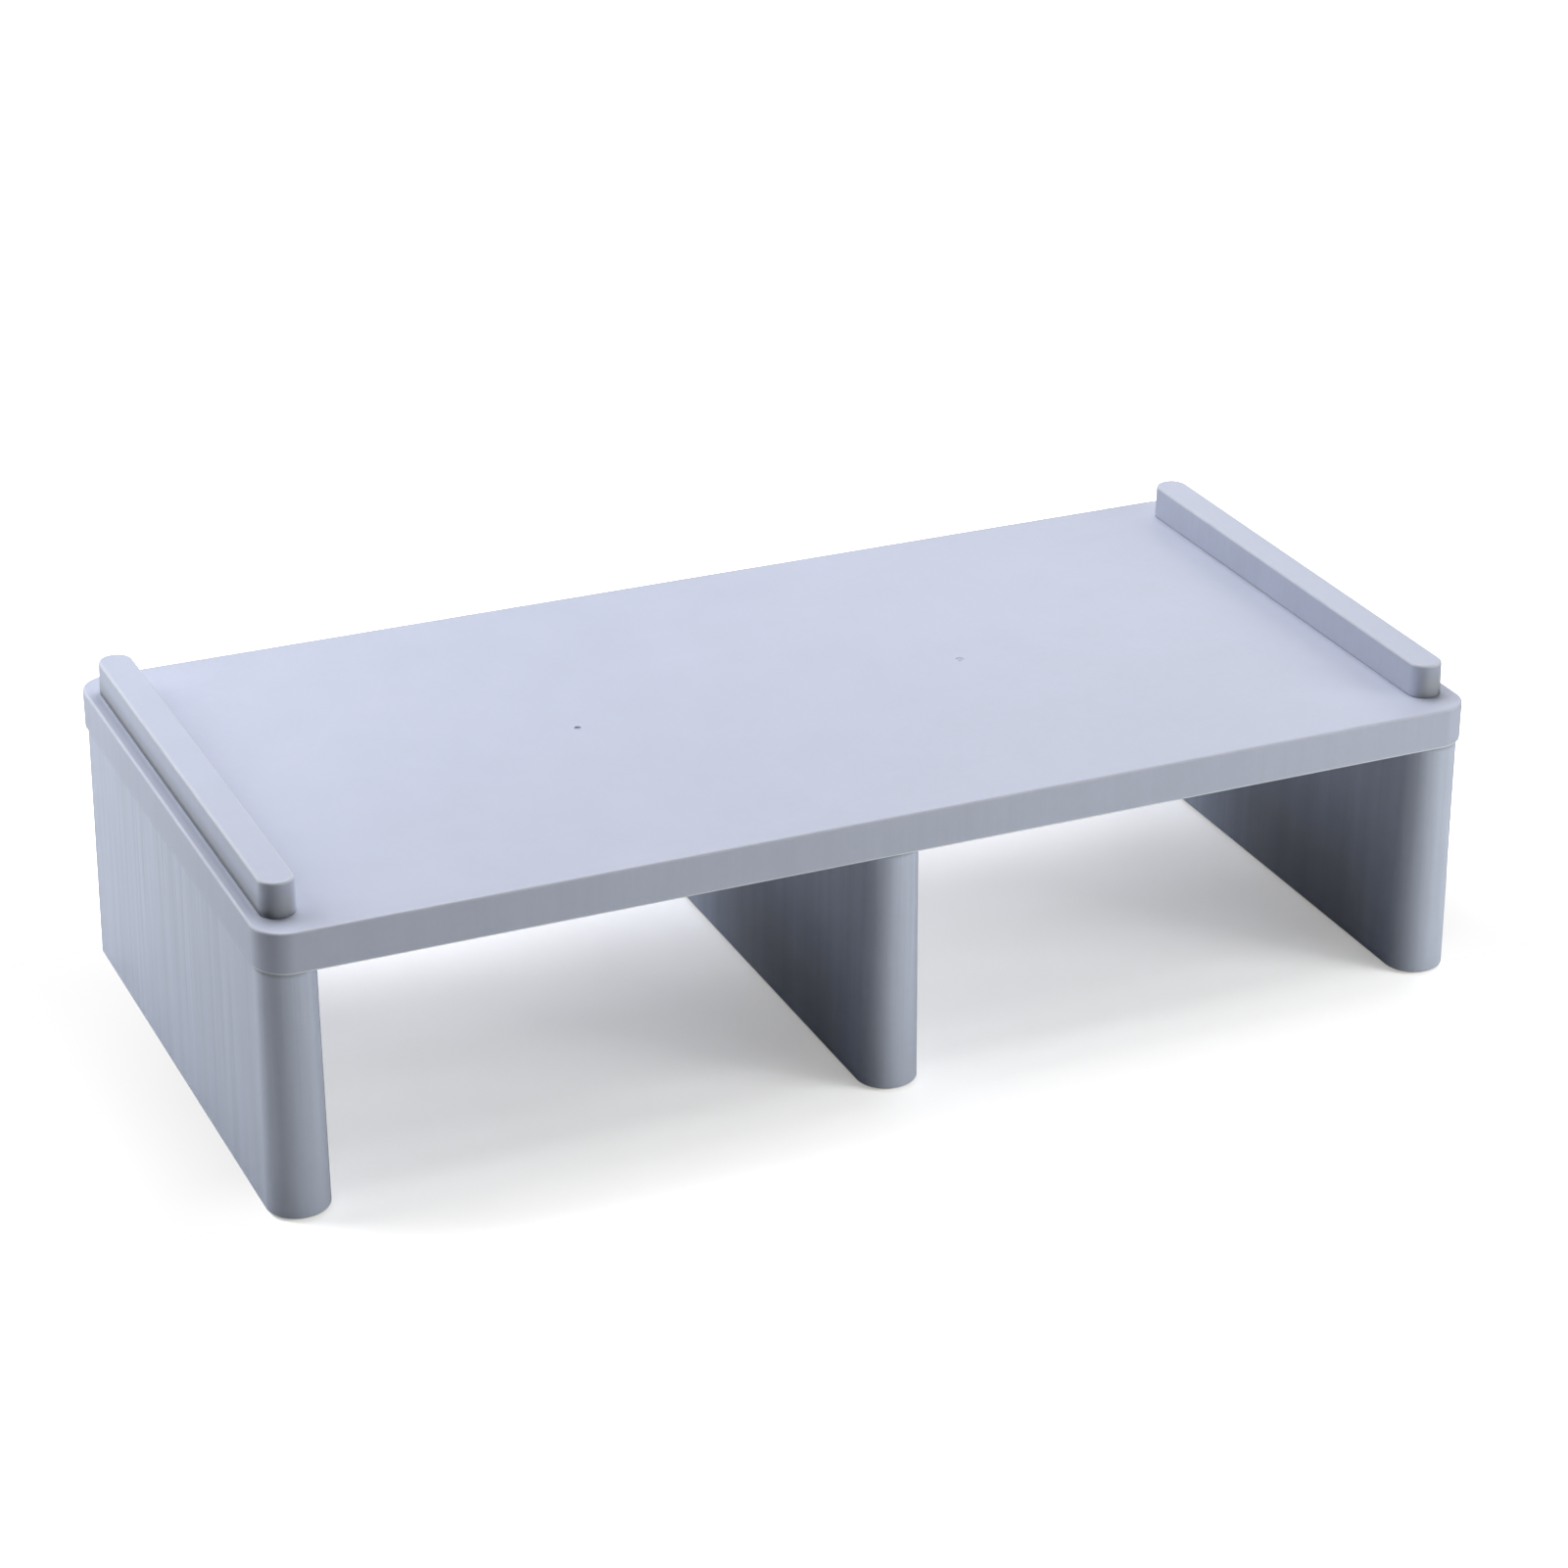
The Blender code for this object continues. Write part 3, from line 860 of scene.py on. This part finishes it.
# ---- the legs -------------------------------------------------------------------
def leg(side, mid, t0, t1, material):
    slope = math.tan(LEG_DRAFT)
    b0, b1 = mid - LEG_T / 2, mid + LEG_T / 2
    by = HALF_Y - LEG_IN_Y

    def grow(z):
        return slope * (SHOULDER_Z - z)

    def body(inset, z):
        g = grow(z) - inset
        ring = plan_ring(
            b0 - g, b1 + g, -by - g, by + g, (b1 - b0) / 2 - 0.00012 + g
        )
        return ring, z

    def tongue(inset, z):
        y = INNER_Y - TONGUE_FIT
        ring = plan_ring(
            t0 + inset,
            t1 - inset,
            -y + inset,
            y - inset,
            tongue_radius(t0, t1) - inset,
        )
        return ring, z

    levels = [body(i, FOOT_STAND + r) for i, r in arc(LIP_R, 5, True)]
    levels += [body(i, SHOULDER_Z - SHOULDER_R + r) for i, r in arc(SHOULDER_R, 4, False)]
    levels += [
        tongue(0, SHOULDER_Z + 0.00002),
        tongue(0, TONGUE_TOP - 0.001),
        tongue(0.0003, TONGUE_TOP - 0.0004),
        tongue(0.0007, TONGUE_TOP),
    ]
    obj = solid(side + "_leg_moulding", [levels])

    roof = SHOULDER_Z - LEG_WEB

    def hollow(y0, y1, z, inset, radius, steps=HIDDEN):
        g = grow(z) - inset
        ring = plan_ring(
            b0 - g + LEG_WALL, b1 + g - LEG_WALL, y0 + inset, y1 - inset, radius, steps
        )
        return ring, z

    # open bottom with a rounded rim, then cells with cross ribs between them
    rim = FOOT_STAND
    mouth = [hollow(-LEG_END_Y, LEG_END_Y, rim - 0.002, -RIM_R, 0.0025)]
    for inset, rise in reversed(arc(RIM_R, 3, False)):
        mouth.append(
            hollow(
                -LEG_END_Y, LEG_END_Y, rim + RIM_R - rise, inset - RIM_R, 0.0025
            )
        )
    mouth.append(hollow(-LEG_END_Y, LEG_END_Y, LEG_RIB_LIFT, 0, 0.0025))
    edges = [-LEG_END_Y + 0.0004]
    for y in LEG_RIB_Y:
        edges += [y - LEG_RIB_T / 2, y + LEG_RIB_T / 2]
    edges.append(LEG_END_Y - 0.0004)
    cells = []
    for y0, y1 in zip(edges[0::2], edges[1::2]):

        def level(z, inset):
            ring, z = hollow(y0, y1, z, inset, 0.002 - inset * 0.4)
            return [
                (x - 0.0004 if x > mid else x + 0.0004, y) for x, y in ring
            ], z

        cell = [level(LEG_RIB_LIFT - 0.0005, 0.0)]
        cell += [level(roof - 0.0010 + r, i) for i, r in arc(0.0010, 4, False)]
        cells.append(cell)

    upper = [
        tongue(TONGUE_WALL, SHOULDER_Z),
        tongue(TONGUE_WALL, TONGUE_TOP - 0.0005),
        tongue(TONGUE_WALL - 0.0004, TONGUE_TOP),
        tongue(TONGUE_WALL - 0.0004, TONGUE_TOP + 0.002),
    ]
    pockets, seats = [], []
    for end in ("front", "rear"):
        lo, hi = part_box(f"{side}_{end}_foot")
        sign = -1 if end == "front" else 1
        y0, y1 = sorted((sign * 0.1126, sign * 0.1166))
        ring = plan_ring(mid - 0.005, mid + 0.005, y0, y1, 0.0019, 6)
        pockets.append([(ring, 0.004), (ring, SHOULDER_Z + 0.001)])
        ring = pad_ring(lo, hi, FOOT_GAP)
        seats.append([(ring, FOOT_STAND - 0.002), (ring, FOOT_T + FOOT_GAP)])
    carve(
        obj,
        ([mouth], CUT),
        (cells, CUT),
        ([upper], CUT),
        (pockets, CUT),
        (seats, CUT),
    )
    return dress(obj, material, side + "_leg_unit", side + "_leg")


# ---- the feet -------------------------------------------------------------------
def pad_ring(lo, hi, grow):
    return plan_ring(
        lo.x - grow,
        hi.x + grow,
        lo.y - grow,
        hi.y + grow,
        (hi.y - lo.y) / 2 + grow - 0.00008,
        12,
    )


def pad(side, end, material):
    node = f"{side}_{end}_foot"
    lo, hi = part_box(node)
    levels = [(pad_ring(lo, hi, -i), lo.z + r) for i, r in arc(0.0004, 4, True)]
    levels += [
        (pad_ring(lo, hi, -i), hi.z - 0.0002 + r) for i, r in arc(0.0002, 2, False)
    ]
    obj = solid(node + "_pad", [levels])
    # grip grooves across the underside
    grooves = []
    for k in (-1.5, -0.5, 0.5, 1.5):
        cx = (lo.x + hi.x) / 2 + k * 0.0024
        ring = plan_ring(cx - 0.0004, cx + 0.0004, lo.y - 0.001, hi.y + 0.001, 0.0001, 1)
        wide = plan_ring(cx - 0.0006, cx + 0.0006, lo.y - 0.001, hi.y + 0.001, 0.0001, 1)
        grooves.append([(wide, lo.z - 0.001), (wide, lo.z), (ring, lo.z + 0.00032)])
    carve(obj, (grooves, CUT))
    return dress(obj, material, side + "_leg_unit", node)


# ---- studio ---------------------------------------------------------------------
FLOOR_SEEN = (1.93, 1.89, 1.94)
FLOOR_LIFT = (0.296, 0.290, 0.262)
FLOOR_BOUNCE = (0.55, 0.55, 0.55)
FLOOR_FADE = (0.55, 1.20)
FLOOR_AHEAD, FLOOR_BELOW = 0.21, 0.08
WALL_SHADE = 0.14

# name, plan angle from +X, elevation, distance, height aimed at, width, height,
# watts, colour; the last two are low washes that stand in for light off the sweep
LIGHTS = (
    ("over", 70, 75, 1.5, 0.06, 1.0, 0.8, 13.7, (1.0, 1.0, 1.01)),
    ("over_rear", 95, 55, 1.8, 0.06, 1.4, 0.8, 4.8, (1.0, 1.0, 1.01)),
    ("rear_left", 135, 32, 1.8, 0.06, 1.0, 1.0, 4.6, (0.96, 1.0, 1.02)),
    ("rear_left_near", 150, 35, 0.85, 0.06, 0.6, 0.6, 2.4, (0.96, 1.0, 1.02)),
    ("rear_right", 45, 32, 1.8, 0.06, 1.0, 1.0, 4.2, (1.0, 1.0, 1.0)),
    ("front_right", 305, 30, 2.4, 0.06, 1.0, 1.0, 5.1, (0.98, 1.01, 0.98)),
    ("front_right_low", 320, 14, 2.0, 0.06, 0.8, 0.6, 11.8, (0.98, 1.01, 0.98)),
    ("wash_left", 150, 0, 0.75, 0.045, 0.7, 0.08, 0.57, (0.96, 1.0, 1.02)),
    ("wash_front", 290, 0, 0.75, 0.045, 0.7, 0.08, 0.77, (0.98, 1.01, 0.98)),
)
# these two stand low enough to be mirrored in the deck from behind, so they only
# light what is matt
NO_GLARE = ("front_right", "front_right_low")
WORLD_LIGHT = 0.01


def aim(obj, target):
    direction = Vector(target) - obj.location
    obj.rotation_mode = "QUATERNION"
    obj.rotation_quaternion = direction.to_track_quat("-Z", "Y")


def add_light(name, angle, elevation, distance, level, wide, high, watts, colour):
    data = bpy.data.lights.new("light_" + name, "AREA")
    data.shape = "RECTANGLE"
    data.size, data.size_y = wide, high
    data.energy = watts
    data.color = colour
    obj = bpy.data.objects.new("light_" + name, data)
    a, e = math.radians(angle), math.radians(elevation)
    obj.location = (
        distance * math.cos(a) * math.cos(e),
        distance * math.sin(a) * math.cos(e),
        level + distance * math.sin(e),
    )
    aim(obj, (0, 0, level))
    obj.visible_camera = False
    obj.visible_glossy = name not in NO_GLARE
    bpy.context.scene.collection.objects.link(obj)
    return obj


def add_floor():
    bm = bmesh.new()
    size, count = 5.0, 20
    bmesh.ops.create_grid(bm, x_segments=count, y_segments=count, size=size)
    mesh = bpy.data.meshes.new("studio_floor")
    bm.to_mesh(mesh)
    bm.free()
    obj = bpy.data.objects.new("studio_floor", mesh)
    mesh.materials.append(floor_material())
    bpy.context.scene.collection.objects.link(obj)
    # the desk drops with the lowest leg, so a leg that is pulled down still stands on it
    curve = obj.driver_add("location", 2)
    driver = curve.driver
    driver.type = "SCRIPTED"
    names = []
    for i, empty in enumerate(frame["bodies"].values()):
        variable = driver.variables.new()
        variable.name = f"b{i}"
        variable.type = "TRANSFORMS"
        target = variable.targets[0]
        target.id = empty
        target.transform_type = "LOC_Z"
        target.transform_space = "WORLD_SPACE"
        names.append(variable.name)
    driver.expression = f"min({', '.join(names)}) - 0.0002"
    return obj


def add_world():
    world = bpy.data.worlds.new("studio")
    bpy.context.scene.world = world
    world.use_nodes = True
    t = Tree(world.node_tree)
    path = t.put("ShaderNodeLightPath")
    dim = t.put(
        "ShaderNodeBackground", Color=(1.0, 1.0, 1.0, 1.0), Strength=WORLD_LIGHT
    )
    bright = t.put("ShaderNodeBackground", Color=(1, 1, 1, 1), Strength=1.02)
    both = t.put(
        "ShaderNodeMixShader",
        {0: path.outputs["Is Camera Ray"], 1: dim.outputs[0], 2: bright.outputs[0]},
    )
    t.put("ShaderNodeOutputWorld", {"Surface": both.outputs[0]})


def add_camera():
    azimuth, elevation, roll = (math.radians(a) for a in (-24.157, 25.452, 0.249))
    back = Vector(
        (
            math.sin(azimuth) * math.cos(elevation),
            -math.cos(azimuth) * math.cos(elevation),
            math.sin(elevation),
        )
    )
    right = Vector((math.cos(azimuth), math.sin(azimuth), 0.0))
    up = back.cross(right)
    r2 = right * math.cos(roll) + up * math.sin(roll)
    u2 = -right * math.sin(roll) + up * math.cos(roll)
    data = bpy.data.cameras.new("camera")
    data.sensor_width = 36.0
    data.lens = 94.31
    data.clip_start, data.clip_end = 0.05, 60.0
    obj = bpy.data.objects.new("camera", data)
    bpy.context.scene.collection.objects.link(obj)
    basis = Matrix((r2, u2, back)).transposed().to_4x4()
    obj.matrix_world = Matrix.Translation((-0.60489, -1.36147, 0.78655)) @ basis
    bpy.context.scene.camera = obj


# ---- build ----------------------------------------------------------------------
BOARD = (0.560, 0.590, 0.720)
RAILS = (0.546, 0.580, 0.703)
LEGS = (0.600, 0.642, 0.773)
# colour of the painted highlight on the skirt's lower lip
LIP_HIGHLIGHT_COLOUR = (0.86, 0.90, 0.96)
LEDGE_X, LEDGE_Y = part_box("right_rail")[1].x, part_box("right_rail")[1].y
RAIL_IN_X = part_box("right_rail")[0].x
# amounts of painted shade on the board, rails and legs; the rail-foot amount is painted light
INSIDE_RAIL_SHADE = 0.06
LEDGE_SHADE = 0.17
RAIL_FOOT_LIGHT = 0.17
RAIL_WALL_SHADE = 0.45
RAIL_FOOT_LINE_SHADE = 0.44
RAIL_END_SHADE = 0.52
SEAM_SHADE = 0.34
LOW_WALL_SHADE = 0.47
board_plastic = moulded_plastic(
    "board_plastic_look",
    BOARD,
    0.45,
    (0.45, 1.5),
    0.3,
    0.0,
    lip_top=SKIRT_BOTTOM + LIP_R,
    marks=board_painted_shading,
)
rail_plastic = moulded_plastic(
    "rail_plastic_look", RAILS, 0.44, (0.8, 0.0), 0.2, 3.1, marks=rail_painted_shade
)
leg_plastic = moulded_plastic(
    "leg_plastic_look", LEGS, 0.44, (0.3, 0.0), 1.0, 7.7, marks=leg_painted_shade
)
foot_rubber = moulded_rubber("foot_rubber_look", (0.030, 0.030, 0.033))

board(board_plastic)
for node_name in ("left_rail", "right_rail"):
    rail(node_name, rail_plastic)
for side_name, middle, tongue0, tongue1 in leg_layout():
    leg(side_name, middle, tongue0, tongue1, leg_plastic)
    for end_name in ("front", "rear"):
        pad(side_name, end_name, foot_rubber)

add_floor()
add_world()
for row in LIGHTS:
    add_light(*row)
add_camera()
bpy.context.scene.view_settings.view_transform = "Standard"

bpy.context.view_layer.update()
